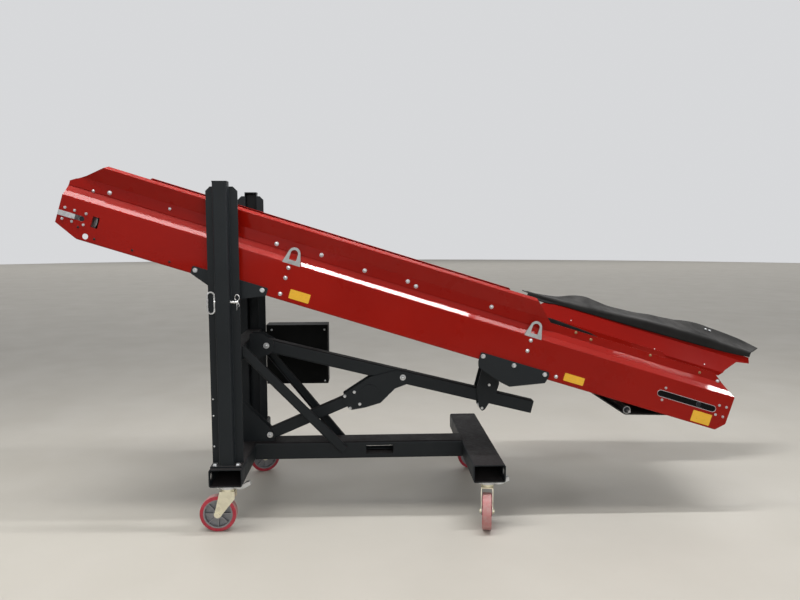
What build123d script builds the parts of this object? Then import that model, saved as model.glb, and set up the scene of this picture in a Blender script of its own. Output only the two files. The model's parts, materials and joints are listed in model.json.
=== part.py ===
from build123d import *
import os
from math import asin, atan2, cos, degrees, hypot, pi, radians, sin

# Mobile belt conveyor for potatoes: an inclined trough with a rubber belt, hung between two masts on a base
# with four swivel casters. Lengths are millimetres and angles are degrees.
# Machine frame while modelling: X along the machine, 0 at the masts, +X to the low (loading) end.
# Y across, 0 in the middle, -Y is the operator's (near) side. Z up from the floor.
# The parts are moved in X when they are written, so that the origin is under the middle of the length.

os.makedirs("parts", exist_ok=True)

# Clearances
pin_clearance = 0.05
contact_gap = 0.3
link_gap = 1.0
past = 1.0  # how far a cut runs past the face that it opens

# Base
tube_wide = 180.0
tube_high = 100.0
tube_wall = 6.0
tube_length = 1096.0
tube_spacing = 1449.0
tube_end_hole_r = 22.5
tube_end_hole_inset = 45.0
caster_height = 270.5
beam_wide = 160.0
beam_high = 105.0
window_left = 765.0
window_wide = 167.0
window_high = 52.0
window_below_top = 24.0

# Masts: hat sections, closed at the top, on a foot plate
mast_inner_y = 451.0
mast_sheet = 6.0
mast_bend = 3.0
mast_flange_wide = 170.0
mast_cap_wide = 78.0
mast_cap_deep = 61.0
mast_flange_top = 1898.0
mast_cap_top = 1924.0
mast_corner = 24.0
mast_foot_thick = 8.0
mast_foot_inside = 15.0
mast_foot_outside = 12.0
cross_beam_left = -40.0
cross_beam_right = 60.0
cross_beam_low = 915.0
cross_beam_top = 1005.0

# Carriage in the masts and its lock pin
pivot_z = 1330.0
block_gap = 5.0
block_high = 120.0
block_below_pivot = 43.7
pivot_pin_r = 15.0
pivot_collar_r = 24.0
pivot_head_r = 22.0
pivot_head_thick = 8.0
pivot_side_gap = 1.0
lock_pin_r = 8.0
lock_pin_past_mast = (8.0, 41.0)
lock_ring_drop = 125.0
lock_ring_wide = 46.0
lock_ring_rod_r = 4.0
lock_ring_sag = 4.0

# Trough, in the deck frame: x from the head end to the tail end along the plates, w square to it,
# 0 at the plates' lower edge
tilt = 17.2
pivot_x = 976.0
pivot_w = -40.0
plate_length = 3935.0
plate_high = 212.0
plate_outer_y = 400.0
plate_sheet = 4.0
bottom_flange = 30.0
lip_mid = (374.0, 238.0)
leg_outer_y = 354.0
leg_bottom = 269.0
leg_top = 315.0
head_notch_long = 132.0
head_notch_high = 57.0
head_top = 293.0
head_top_setback = 34.0
tail_notch = 50.0
tail_top_low = (43.0, 246.0)
tail_top_setback = 140.0
tail_slot_from_end = (429.0, 103.0)
tail_slot_w = 114.0
tail_slot_r = 18.0
head_slot_end = 145.0
head_slot_r = 14.0
head_window = (185.0, 222.0, 86.0, 146.0)
head_hole = (172.0, 28.0)
head_hole_r = 16.0

# Boards bolted on the side plates' upright legs
board_sheet = 3.0
board_lean_y = 389.0
board_crease = 329.0
board_high = 411.0
board_lip = 22.0
board_top = 437.0
board_right = plate_length - 1131.0
board_head_edge = [(0.0, 0.0), (6.0, 26.0), (83.0, 75.0)]
board_head_top = 200.0
board_tail_top = 166.0
board_tail_tip = 22.0
board_tail_foot = 13.0

# Lifting eyes
eye_places = (pivot_x + 249.0, plate_length - 1291.0)
eye_wide = 100.0
eye_plate = 8.0
eye_foot = 100.0
eye_shoulder = 215.0
eye_top = 303.0
eye_round = 33.0
eye_hole_r = 21.0
eye_hole_top = 289.0
eye_hole_foot = 230.0
eye_slot_low = 207.0

# Belt, drums and rollers
belt_half_wide = 350.0
belt_thick = 8.0
drum_r = 70.0
drum_past_belt = 8.0
tail_drum_from_end = 190.0
press_roller_from_end = 567.0
return_roller_from_end = 965.0
head_drum = (130.0, 115.0)
tail_drum = (plate_length - tail_drum_from_end, tail_slot_w)
press_roller = (plate_length - press_roller_from_end, -42.0)
press_roller_r = 22.0
return_roller = (plate_length - return_roller_from_end, 20.0)
return_roller_r = 20.0
roller_past_belt = 5.0
shaft_r = 14.0
cleat_high = 10.0
cleat_wide = 12.0
cleat_pitch = 250.0
cleat_half = 320.0
cleat_sweep = 110.0
cleat_margin = 60.0
bed_sheet = 3.0
bed_drum_gap = 35.0
bed_side_gap = 4.0
member_size = 40.0
member_wall = 4.0
member_places = (340.0, 900.0, 1500.0, 2100.0, eye_places[1] + 156.0, plate_length - 685.0)
skirt_thick = 5.0
skirt_foot = 322.0
skirt_bend = 252.0
skirt_belt_gap = 4.0
skirt_head = 230.0
skirt_top_edge = [(735.0, 303.0), (600.0, 283.0), (100.0, 256.0)]
tensioner_side = (10.0, 3.0)
tensioner_long = 94.0
bearing_plate_thick = 8.0
bearing_plate_edge = 20.0
bearing_plate_before_slot = 10.0
bearing_plate_tail_inset = 12.0

# Plates on the trough for the pivot and for the guide: rows of x and w, from the pivot and from the cross beam
wing_sheet = 8.0
wing_corner = 8.0
wing_outline = [(-211, 84), (-211, 41), (-51, -13), (14, -48), (102, -10), (216, 40), (216, 84)]
bracket_outline = [(-165, 86), (245, 86), (250, 62), (239, 20), (50, -58), (-5, -48), (-154, 0), (-165, 32)]

# Arm and strut under the trough: outlines are rows of x and z, from the pin that each plate carries
arm_size = 80.0
arm_wall = 5.0
arm_pin = (161.0, 969.0)
arm_drop = 13.9
arm_before_pin = 62.0
arm_after_pin = 1694.0
strut_pin = (172.0, 411.0)
strut_rise = 23.2
strut_high = 70.0
strut_wide = 60.0
strut_wall = 5.0
strut_before_pin = 20.0
strut_after_pin = 600.0
elbow_pin_along = 857.0
link_pin_r = 12.0
link_pin_past = 10.0
link_nut_r = 18.0
link_nut_thick = 7.0
link_plate = 6.0
pivot_plate_low = 69.0
pivot_plate_high = 76.0
pivot_plate_outline = [(-25, 71), (40, 32), (50, -20), (22, -52), (-40, -75)]
pivot_plate_corner = 10.0
gusset_left = 5.0
gusset_outline = [(-167, 209), (-4, 42), (24, 8)]
gusset_right = 28.0
gusset_corner = 5.0
elbow_outline = [(-374, -108), (-200, 5), (-58, 41), (30, 34), (52, -2), (18, -46), (-48, -70), (-138, -159),
                 (-233, -187), (-321, -202), (-339, -186)]
elbow_corner = 12.0
elbow_cover = (-205.0, -97.0)
elbow_cover_r = 55.0
elbow_cover_thick = 4.0
clamp_along = 495.0
clamp_long = 100.0
clamp_below_strut = 10.0

# Braces: channels from the cross beam down to the base beam
brace_top = (60.0, 245.0, 970.0)
brace_foot = (625.0, 74.0, 324.0)
brace_high = 56.0
brace_deep = 25.0
brace_sheet = 5.0

# Roller guide that rides on the arm
guide_along = 1389.0
guide_roller_r = 34.0
guide_clear = 5.0
guide_plate = 8.0
guide_bolt_r = 8.0
guide_bolt_past = 8.0
guide_keeper = (-43.0, -146.0)
guide_keeper_r = 14.0
guide_beam_from_pin = (-19.0, 136.6)
guide_beam_size = 60.0
guide_beam_wall = 4.0
guide_outline = [(-77, -22), (-70, -90), (-61, -141), (-43, -166), (-24, -156), (4, -112), (45, -53), (63, 2),
                 (66, 130), (-38, 130)]
guide_corner = 9.0

# Casters
swivel_from_tube_end = 75.0
wheel_r = 101.0
wheel_wide = 50.0
tread_thick = 20.0
tread_corner = 5.0
trail = 56.0
fork_gap = 5.0
fork_sheet = 4.0
fork_crown = 224.0
fork_crown_thick = 6.0
fork_back = 44.0
fork_front = 40.0
fork_arm_foot = [(-19, -3), (15, -13)]
fork_front_drop = 34.0
fork_boss_r = 20.0
axle_r = 8.0
axle_nut_r = 12.0
axle_nut_thick = 7.0
kingpin_r = 12.0
kingpin_below_top = 3.0
race_high = 22.0
race_r = 46.0
race_lower_r = 36.0
race_gap = 0.5
top_plate_thick = 8.0
top_plate_half = (62.0, 50.0)
lever_outline = [(40, 0), (40, -22), (64, -26), (82, -24), (126, -2), (118, 18), (92, 6), (70, -8), (58, 0)]
lever_half_wide = 14.0
hub_side_gap = 1.0
hub_core_r = 25.0
hub_rim_thick = 8.0
hub_web = 8.0
hub_ribs = 8
hub_rib_start = 15.0
hub_rib_past_web = 14.0
hub_rib_thick = 6.0
hub_tread_gap = 0.1

# Control box
box_left = 105.0
box_wide = 407.0
box_low = 650.0
box_high = 395.0
box_near_y = 330.0
box_deep = 150.0
box_corner = 6.0
box_bar_thick = 8.0
box_bar_high = 30.0
box_bar_lows = (60.0, 305.0)
box_bar_gap = 2.0

# Hopper wall on the far side and its rubber edge: edges are rows of x and w, from the wall's ends.
# The rubber's line is rows of x, the w of its fold and the w of its outer edge.
hopper_left = board_right + 96.0
hopper_tip = plate_length + 532.0
hopper_foot = leg_bottom + 3.0
hopper_crease = 300.0
hopper_flare = (450.0, 412.0)
hopper_top = (428.0, 452.0)
hopper_left_edge = [(60.0, leg_bottom), (0.0, hopper_crease), (-10.0, 372.0)]
hopper_left_top = 60.0
hopper_tip_edge = [(0.0, hopper_flare[1]), (-100.0, 396.0), (-196.0, 320.0), (-240.0, leg_bottom)]
hopper_tip_top = 16.0
rubber_thick = 5.0
rubber_low = (hopper_flare[1] + 6.0, hopper_flare[1] + 38.0)
rubber_reach = 632.0
rubber_line = [(-4.0, 437.0, 440.0), (196.0, 440.0, 446.0), (446.0, 450.0, 519.0), (896.0, 484.0, 528.0),
               (1271.0, 492.0, 576.0), (1496.0, 486.0, 566.0), (1648.0, 488.0, 537.0)]
rubber_tip_past_fold = 153.0

tube_bottom = caster_height
tube_top = tube_bottom + tube_high
swivel_y = tube_length / 2 - swivel_from_tube_end
sides = (-1, 1)
plate_inner_y = plate_outer_y - plate_sheet
wing_y = (plate_outer_y, plate_outer_y + wing_sheet)
deck = Location((0, 0, pivot_z), (0, tilt, 0)) * Location((-pivot_x, 0, -pivot_w))


# Helpers

def block(x0, x1, y0, y1, z0, z1):
    low, high = sorted((y0, y1))
    return Pos((x0 + x1) / 2, (low + high) / 2, (z0 + z1) / 2) * Box(x1 - x0, high - low, z1 - z0)


def upright(flat, y0, y1):
    """A plate from a flat shape drawn in x and z, between two values of y."""
    low, high = sorted((y0, y1))
    face = Plane((0, low, 0), x_dir=(1, 0, 0), z_dir=(0, -1, 0)) * flat
    return extrude(face, amount=high - low, dir=(0, 1, 0))


def cornered(points, y0, y1):
    return upright(Polygon(*points, align=None), y0, y1)


def rounded(points, radius, y0, y1):
    flat = Polygon(*points, align=None)
    return upright(fillet(flat.vertices(), radius), y0, y1)


def moved(points, start):
    return [(start[0] + x, start[1] + z) for x, z in points]


def rod(x, z, r, y0, y1):
    """A round bar across the machine."""
    low, high = sorted((y0, y1))
    return Pos(x, (low + high) / 2, z) * Rot(90, 0, 0) * Cylinder(r, high - low)


def sheet_section(points, thick, bend):
    """A folded sheet's section: the given line and its copy, offset to the left. A bend of 0 stays sharp."""
    inner = []
    bends = []
    for i, (a, b) in enumerate(points):
        normals = []
        for j in (i - 1, i):
            if 0 <= j < len(points) - 1:
                da = points[j + 1][0] - points[j][0]
                db = points[j + 1][1] - points[j][1]
                size = hypot(da, db)
                normals.append((-db / size, da / size))
        na = sum(n[0] for n in normals) / len(normals)
        nb = sum(n[1] for n in normals) / len(normals)
        square = na * na + nb * nb
        inner.append((a + na * thick / square, b + nb * thick / square))
        if len(normals) == 2:
            turn = normals[0][0] * normals[1][1] - normals[0][1] * normals[1][0]
            if bend > 0 and abs(turn) > 0.1:
                left = turn > 0
                bends.append(((a, b), bend + thick if left else bend))
                bends.append((inner[-1], bend if left else bend + thick))
    section = Polygon(*points, *reversed(inner), align=None)
    for (a, b), r in bends:
        corner = section.vertices().sort_by_distance((a, b, 0))[0]
        section = fillet(corner, r)
    return section


def folded(points, thick, bend, x0, x1):
    """A folded sheet with its section in y and z, running along x."""
    face = Plane((x0, 0, 0), x_dir=(0, 1, 0), z_dir=(1, 0, 0)) * sheet_section(points, thick, bend)
    return extrude(face, amount=x1 - x0, dir=(1, 0, 0))


def sided(side, points):
    """Section points given for +Y, on the chosen side, in an order that keeps the sheet inside."""
    pts = [(side * y, z) for y, z in points]
    return pts if side > 0 else list(reversed(pts))


def ray(start, angle, along, across=0.0):
    """A point along a line in the x, z plane that rises by the angle, and square to it."""
    a = radians(angle)
    return (start[0] + along * cos(a) - across * sin(a), start[1] + along * sin(a) + across * cos(a))


def along_x(start, angle=0.0):
    """The place of a bar that starts at a point in the x, z plane and rises by the angle."""
    return Location((start[0], 0, start[1]), (0, -angle, 0))


def box_tube(before, after, high, wide, wall):
    """A tube along x with its axis through the origin, its corners rounded by its wall."""
    section = RectangleRounded(wide, high, 2 * wall) - RectangleRounded(wide - 2 * wall, high - 2 * wall, wall)
    face = Plane((-before, 0, 0), x_dir=(0, 1, 0), z_dir=(1, 0, 0)) * section
    return extrude(face, amount=before + after, dir=(1, 0, 0))


def joined(shapes):
    """Solids of one node: those that touch are fused, those that don't stay apart."""
    result = shapes[0]
    for shape in shapes[1:]:
        result = result + shape
    return result


# Base frame

def cross_tube(x, outward):
    half = tube_length / 2
    middle = tube_bottom + tube_high / 2
    tube = Location((x, 0, middle), (0, 0, 90)) * box_tube(half, half, tube_high, tube_wide, tube_wall)
    for side in sides:
        hole = Pos(x + outward * tube_wide / 2, side * (half - tube_end_hole_inset), middle) * Rot(0, 90, 0)
        tube -= hole * Cylinder(tube_end_hole_r, 4 * tube_wall)
    return tube


def base_beam():
    x0, x1 = tube_wide / 2, tube_spacing - tube_wide / 2
    beam = along_x((0, tube_top - beam_high / 2)) * box_tube(-x0, x1, beam_high, beam_wide, tube_wall)
    top = tube_top - window_below_top
    return beam - block(window_left, window_left + window_wide, -beam_wide, beam_wide, top - window_high, top)


cavity_outer_y = mast_inner_y + mast_cap_deep - mast_sheet
block_half_x = mast_cap_wide / 2 - mast_sheet - block_gap
block_y = (mast_inner_y + mast_sheet, cavity_outer_y - block_gap)
block_bottom = pivot_z - block_below_pivot
lock_y = (block_y[0] + block_y[1]) / 2
lock_z = block_bottom - contact_gap - lock_pin_r


def mast(side):
    half, cap = mast_flange_wide / 2, mast_cap_wide / 2
    inner, outer = mast_inner_y, mast_inner_y + mast_cap_deep
    foot = tube_top + mast_foot_thick
    face = inner + mast_sheet
    line = [(-half, side * face), (-cap, side * face), (-cap, side * outer), (cap, side * outer),
            (cap, side * face), (half, side * face)]
    if side > 0:
        line.reverse()
    section = Plane((0, 0, foot)) * sheet_section(line, mast_sheet, mast_bend)
    shape = extrude(section, amount=mast_cap_top - mast_sheet - foot, dir=(0, 0, 1))
    flange = [(-half, foot), (half, foot), (half, mast_flange_top - mast_corner),
              (half - mast_corner, mast_flange_top), (cap, mast_flange_top), (cap, mast_cap_top),
              (-cap, mast_cap_top), (-cap, mast_flange_top), (mast_corner - half, mast_flange_top),
              (-half, mast_flange_top - mast_corner)]
    shape = shape & cornered(flange, side * (inner - past), side * (outer + past))
    shape += block(-cap, cap, side * inner, side * outer, mast_cap_top - mast_sheet, mast_cap_top)
    shape += block(-half, half, side * (inner - mast_foot_inside), side * (outer + mast_foot_outside),
                   tube_top, foot)
    hole = Pos(0, side * lock_y, lock_z) * Rot(0, 90, 0) * Cylinder(lock_pin_r + pin_clearance, 3 * half)
    return shape - hole


def lock_pin(side):
    reach, right = (mast_cap_wide / 2 + past_mast for past_mast in lock_pin_past_mast)
    pin = Pos((right - reach) / 2, side * lock_y, lock_z) * Rot(0, 90, 0) * Cylinder(lock_pin_r, reach + right)
    ring_x = -reach - lock_ring_wide / 2 + lock_ring_rod_r
    straight = lock_ring_drop - lock_ring_wide
    thick = 2 * lock_ring_rod_r
    place = Pos(ring_x, side * lock_y, lock_z - lock_ring_sag) * Rot(90, 0, 0)
    outer = SlotCenterToCenter(straight, lock_ring_wide, rotation=90)
    inner = SlotCenterToCenter(straight, lock_ring_wide - 2 * thick, rotation=90)
    return pin + place * extrude(outer - inner, amount=thick / 2, both=True)


def mast_cross_beam():
    high = cross_beam_top - cross_beam_low
    wide = cross_beam_right - cross_beam_left
    middle = ((cross_beam_left + cross_beam_right) / 2, 0, (cross_beam_low + cross_beam_top) / 2)
    place = Location(middle, (0, 0, 90))
    return place * box_tube(mast_inner_y, mast_inner_y, high, wide, tube_wall)


arm_angle = -arm_drop
elbow_pin = ray(arm_pin, arm_angle, elbow_pin_along)
pin_hole_r = link_pin_r + pin_clearance
link_y = arm_size / 2 + link_gap
gusset_y = strut_wide / 2 + link_gap


def conveyor_arm():
    arm = along_x(arm_pin, arm_angle) * box_tube(arm_before_pin, arm_after_pin, arm_size, arm_size, arm_wall)
    for x, z in (arm_pin, elbow_pin):
        arm -= rod(x, z, pin_hole_r, -arm_size, arm_size)
    return arm


def strut_tube():
    tube = box_tube(strut_before_pin, strut_after_pin, strut_high, strut_wide, strut_wall)
    return along_x(strut_pin, strut_rise) * tube - rod(*strut_pin, pin_hole_r, -strut_wide, strut_wide)


def plate_pair(points, corner, inner, thick, pin):
    """Two equal plates, one each side of the middle, bored for a pin."""
    plates = []
    for side in sides:
        plate = rounded(points, corner, side * inner, side * (inner + thick))
        plates.append(plate - rod(*pin, pin_hole_r, side * (inner - past), side * (inner + thick + past)))
    return plates


def arm_pivot_plates():
    edge = [(cross_beam_right, arm_pin[1] - pivot_plate_low), (cross_beam_right, arm_pin[1] + pivot_plate_high)]
    outline = edge + moved(pivot_plate_outline, arm_pin)
    return joined(plate_pair(outline, pivot_plate_corner, link_y, link_plate, arm_pin))


def gusset_plates():
    outline = [(gusset_left, tube_top)] + moved(gusset_outline, strut_pin)
    outline.append((strut_pin[0] + gusset_right, tube_top))
    return joined(plate_pair(outline, gusset_corner, gusset_y, link_plate, strut_pin))


def elbow_plates():
    cover = moved([elbow_cover], elbow_pin)[0]
    plates = []
    pair = plate_pair(moved(elbow_outline, elbow_pin), elbow_corner, link_y, link_plate, elbow_pin)
    for side, plate in zip(sides, pair):
        outer = side * (link_y + link_plate)
        plates.append(plate + rod(*cover, elbow_cover_r, outer, outer + side * elbow_cover_thick))
    return joined(plates)


def strut_clamps():
    """Packing blocks that fill the space between the strut's tube and the elbow plates."""
    half = (strut_high - clamp_below_strut) / 2
    blocks = []
    for side in sides:
        packing = block(clamp_along, clamp_along + clamp_long, side * strut_wide / 2, side * link_y,
                        -half, half)
        blocks.append(along_x(strut_pin, strut_rise) * packing)
    return joined(blocks)


def linkage_pins():
    pins = []
    for pin_place, y in ((arm_pin, link_y), (elbow_pin, link_y), (strut_pin, gusset_y)):
        reach = y + link_plate
        pin = rod(*pin_place, link_pin_r, -reach - link_pin_past, reach + link_pin_past)
        for side in sides:
            pin += rod(*pin_place, link_nut_r, side * reach, side * (reach + link_nut_thick))
        pins.append(pin)
    return joined(pins)


def brace(side):
    """A channel, open toward the middle, that splays out from the beam's side to the cross beam's face."""
    run, drop = brace_foot[0] - brace_top[0], brace_top[2] - brace_foot[2]
    spread = brace_top[1] - brace_foot[1]
    half, spare = brace_high / 2, 2 * brace_high
    line = sided(side, [(0, -half), (brace_deep, -half), (brace_deep, half), (0, half)])
    channel = folded(line, brace_sheet, brace_sheet, -spare, hypot(run, spread, drop))
    channel = Rot(0, degrees(atan2(drop, hypot(run, spread))), 0) * channel
    top = (brace_top[0], side * brace_top[1], brace_top[2])
    channel = Location(top, (0, 0, -side * degrees(atan2(spread, run)))) * channel
    channel -= block(-tube_spacing, cross_beam_right, -tube_length, tube_length, 0, 2 * cross_beam_top)
    return channel - block(-tube_spacing, tube_spacing, -side * tube_length, side * beam_wide / 2, 0,
                           cross_beam_low)


def control_box():
    body = block(box_left, box_left + box_wide, box_near_y, box_near_y + box_deep, box_low, box_low + box_high)
    return fillet(body.edges().filter_by(Axis.Z), box_corner)


def box_bracket():
    bars = []
    for low in box_bar_lows:
        z = box_low + low
        bars.append(block(cross_beam_right + box_bar_gap, box_left, mast_inner_y - box_bar_thick, mast_inner_y,
                          z, z + box_bar_high))
    return joined(bars)


# Carriage

def carriage_block(side):
    body = block(-block_half_x, block_half_x, side * block_y[0], side * block_y[1],
                 block_bottom, block_bottom + block_high)
    inner = wing_y[0] - pivot_side_gap
    body += rod(0, pivot_z, pivot_pin_r, side * inner, side * block_y[0])
    body += rod(0, pivot_z, pivot_collar_r, side * (wing_y[1] + pivot_side_gap), side * block_y[0])
    return body + rod(0, pivot_z, pivot_head_r, side * (inner - pivot_head_thick), side * inner)


# Trough

plate_section = [
    (plate_outer_y - bottom_flange, 0.0), (plate_outer_y, 0.0), (plate_outer_y, plate_high),
    lip_mid, (leg_outer_y, leg_bottom), (leg_outer_y, leg_top)]
plate_outline = [
    (0.0, head_notch_high), (head_notch_long, 0.0), (plate_length - tail_notch, 0.0),
    (plate_length, tail_notch), (plate_length, plate_high), (plate_length - tail_top_low[0], tail_top_low[1]),
    (plate_length - tail_top_setback, leg_top + past), (head_top_setback, leg_top + past), (0.0, head_top)]
tail_slot = (plate_length - tail_slot_from_end[0], plate_length - tail_slot_from_end[1])


def side_plate(side):
    shape = folded(sided(side, plate_section), plate_sheet, plate_sheet, 0, plate_length)
    shape = shape & cornered(plate_outline, -plate_outer_y - past, plate_outer_y + past)
    y0, y1 = side * (plate_inner_y - past), side * (plate_outer_y + past)
    x0, x1 = tail_slot
    w, r = tail_slot_w, tail_slot_r
    shape -= block(x0, x1, y0, y1, w - r, w + r) + rod(x0, w, r, y0, y1) + rod(x1, w, r, y0, y1)
    w, r = head_drum[1], head_slot_r
    shape -= block(-past, head_slot_end - r, y0, y1, w - r, w + r) + rod(head_slot_end - r, w, r, y0, y1)
    left, right, low, high = head_window
    shape -= block(left, right, y0, y1, low, high)
    shape -= rod(*head_hole, head_hole_r, y0, y1)
    for x in eye_places:
        shape -= block(x - past, x + eye_wide + past, side * (plate_inner_y - eye_plate - past), y1,
                       eye_slot_low, lip_mid[1])
    return shape


board_section = [
    (leg_outer_y + board_sheet, leg_bottom + past), (leg_outer_y + board_sheet, board_crease),
    (board_lean_y + board_sheet, board_high),
    (board_lean_y + board_sheet - board_lip * cos(pi / 4), board_high + board_lip * sin(pi / 4))]
board_outline = moved(board_head_edge, (0.0, leg_bottom)) + [
    (board_head_top, board_top), (board_right - board_tail_top, board_top),
    (board_right, leg_bottom + board_tail_tip), (board_right - board_tail_foot, leg_bottom)]


def board(side):
    shape = folded(sided(side, board_section), board_sheet, board_sheet, 0, board_right)
    return shape & cornered(board_outline, -plate_outer_y, plate_outer_y)


hopper_section = [
    (leg_outer_y + board_sheet, hopper_foot), (leg_outer_y + board_sheet, hopper_crease), hopper_flare,
    (hopper_flare[0], hopper_top[1] + past)]
hopper_outline = moved(hopper_left_edge, (hopper_left, 0.0)) + [
    (hopper_left + hopper_left_top, hopper_top[0]), (hopper_tip - hopper_tip_top, hopper_top[1])]
hopper_outline += moved(hopper_tip_edge, (hopper_tip, 0.0))


def hopper_wall():
    shape = folded(hopper_section, board_sheet, board_sheet, hopper_left + hopper_left_edge[-1][0], hopper_tip)
    return shape & cornered(hopper_outline, 0, hopper_flare[0] + past)


def hopper_rubber():
    """The rubber edge: an upright band inside the wall's top, folded outward, between measured heights."""
    y = hopper_flare[0] - board_sheet - contact_gap
    first, last = rubber_line[0][0], rubber_line[-1][0]
    faces = []
    for x, fold, edge in rubber_line:
        low = rubber_low[0] + (rubber_low[1] - rubber_low[0]) * (x - first) / (last - first)
        slant = rubber_tip_past_fold if x == last else 0.0
        out = hypot(slant, rubber_reach - y)
        section = sheet_section([(0, low), (0, fold), (out, edge)], rubber_thick, 0)
        across, along = (rubber_reach - y) / out, slant / out
        plane = Plane((board_right + x, y, 0), x_dir=(along, across, 0), z_dir=(across, -along, 0))
        faces.append(plane * section)
    return loft(faces, ruled=True)


# Belt loop: circles as centre and radius to the wanted face, with the turn's sense

def belt_loop(grow):
    """The closed line round the drums and rollers, this far outside the belt's inner face."""
    circles = [
        (head_drum, drum_r + grow, 1), (tail_drum, drum_r + grow, 1), (press_roller, press_roller_r + grow, 1),
        (return_roller, return_roller_r + belt_thick - grow, -1)]
    n = len(circles)
    lines = []
    for i in range(n):
        (ca, ra, sa), (cb, rb, sb) = circles[i], circles[(i + 1) % n]
        dx, dw = cb[0] - ca[0], cb[1] - ca[1]
        heading = atan2(dw, dx) + asin((sb * rb - sa * ra) / hypot(dx, dw))
        left = (-sin(heading), cos(heading))
        start = (ca[0] + sa * ra * left[0], ca[1] + sa * ra * left[1])
        end = (cb[0] + sb * rb * left[0], cb[1] + sb * rb * left[1])
        lines.append((start, end, heading))
    return circles, lines


def loop_face(grow):
    circles, lines = belt_loop(grow)
    edges = []
    for i, (start, end, heading) in enumerate(lines):
        edges.append(Line(start, end))
        centre, r, sense = circles[(i + 1) % len(circles)]
        following = lines[(i + 1) % len(lines)]
        turn = (following[2] - heading + pi) % (2 * pi) - pi
        if sense > 0 and turn > 0:
            turn -= 2 * pi
        middle = heading + turn / 2
        point = (centre[0] - sense * r * sin(middle), centre[1] + sense * r * cos(middle))
        edges.append(ThreePointArc(end, point, following[0]))
    return make_face(edges)


def cleats():
    """Low V-shaped cleats on the straight runs of the loop."""
    shapes = []
    for start, end, heading in belt_loop(belt_thick)[1]:
        length = hypot(end[0] - start[0], end[1] - start[1])
        if length < 2 * cleat_pitch:
            continue
        count = int((length - cleat_sweep - cleat_margin) // cleat_pitch) + 1
        first = (length - cleat_sweep - (count - 1) * cleat_pitch) / 2
        for k in range(count):
            tip = first + k * cleat_pitch
            tail = tip + cleat_sweep
            vee = Polygon((tip, 0), (tail, cleat_half), (tail + cleat_wide, cleat_half),
                          (tip + 2 * cleat_wide, 0), (tail + cleat_wide, -cleat_half), (tail, -cleat_half),
                          align=None)
            plane = Plane((start[0], 0, start[1]), x_dir=(cos(heading), 0, sin(heading)),
                          z_dir=(-sin(heading), 0, cos(heading)))
            shapes.append(plane * extrude(vee, amount=cleat_high, dir=(0, 0, 1)))
    return shapes


def belt():
    band = upright(loop_face(belt_thick) - loop_face(0.0), -belt_half_wide, belt_half_wide)
    return band + cleats()


def drum(centre):
    half = belt_half_wide + drum_past_belt
    shaft = rod(*centre, shaft_r, -plate_inner_y, plate_inner_y)
    return rod(*centre, drum_r - contact_gap, -half, half) + shaft


def roller(centre, r):
    half = belt_half_wide + roller_past_belt
    return rod(*centre, r - contact_gap, -half, half) + rod(*centre, r / 3, -plate_inner_y, plate_inner_y)


belt_rise = (tail_drum[1] - head_drum[1]) / (tail_drum[0] - head_drum[0])


def bed_height(x):
    """Top face of the sheet that the upper run slides on."""
    return head_drum[1] + drum_r - contact_gap + belt_rise * (x - head_drum[0])


def belt_bed():
    x0, x1 = head_drum[0] + drum_r + bed_drum_gap, tail_drum[0] - drum_r - bed_drum_gap
    y = plate_inner_y - eye_plate - bed_side_gap
    outline = [(x0, bed_height(x0)), (x1, bed_height(x1)), (x1, bed_height(x1) - bed_sheet),
               (x0, bed_height(x0) - bed_sheet)]
    return cornered(outline, -y, y)


def cross_members():
    half = member_size / 2
    members = []
    for x in member_places:
        middle = bed_height(x) - bed_sheet - contact_gap - half
        place = Location((x + half, 0, middle), (0, 0, 90))
        members.append(place * box_tube(plate_inner_y, plate_inner_y, member_size, member_size, member_wall))
    return joined(members)


def skirts():
    y = leg_outer_y - plate_sheet - contact_gap
    low = bed_height(tail_drum[0]) + belt_thick + cleat_high + skirt_belt_gap
    top_edge = [(plate_length - inset, w) for inset, w in skirt_top_edge]
    tail, top = top_edge[-1][0], top_edge[0][1]
    section = [(skirt_foot + skirt_thick, low), (y, skirt_bend), (y, top + past)]
    outline = [(skirt_head, 0), (tail, 0)] + top_edge[::-1] + [(skirt_head, top)]
    strips = [folded(sided(side, section), skirt_thick, skirt_thick, skirt_head, tail) for side in sides]
    return joined([strip & cornered(outline, -plate_outer_y, plate_outer_y) for strip in strips])


def wing_plates():
    plates = []
    outline = moved(wing_outline, (pivot_x, pivot_w))
    for side in sides:
        inner, outer = side * wing_y[0], side * wing_y[1]
        hole = rod(pivot_x, pivot_w, pivot_pin_r + pin_clearance, inner - side * past, outer + side * past)
        plates.append(rounded(outline, wing_corner, inner, outer) - hole)
    return joined(plates)


# Guide on the arm

guide_pin = ray(arm_pin, arm_angle, guide_along, arm_size / 2 + guide_clear + guide_roller_r)
guide_y = arm_size / 2 + guide_clear + link_gap
guide_pin_deck = ray((pivot_x, pivot_w), tilt, guide_pin[0], guide_pin[1] - pivot_z)
guide_beam = (guide_pin_deck[0] + guide_beam_from_pin[0], guide_pin_deck[1] + guide_beam_from_pin[1])


def bracket_plates():
    outline = moved(bracket_outline, guide_beam)
    return joined([rounded(outline, wing_corner, side * wing_y[0], side * wing_y[1]) for side in sides])


def guide_cross_beam():
    place = Location((guide_beam[0], 0, guide_beam[1]), (0, 0, 90))
    return place * box_tube(wing_y[0], wing_y[0], guide_beam_size, guide_beam_size, guide_beam_wall)


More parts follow.
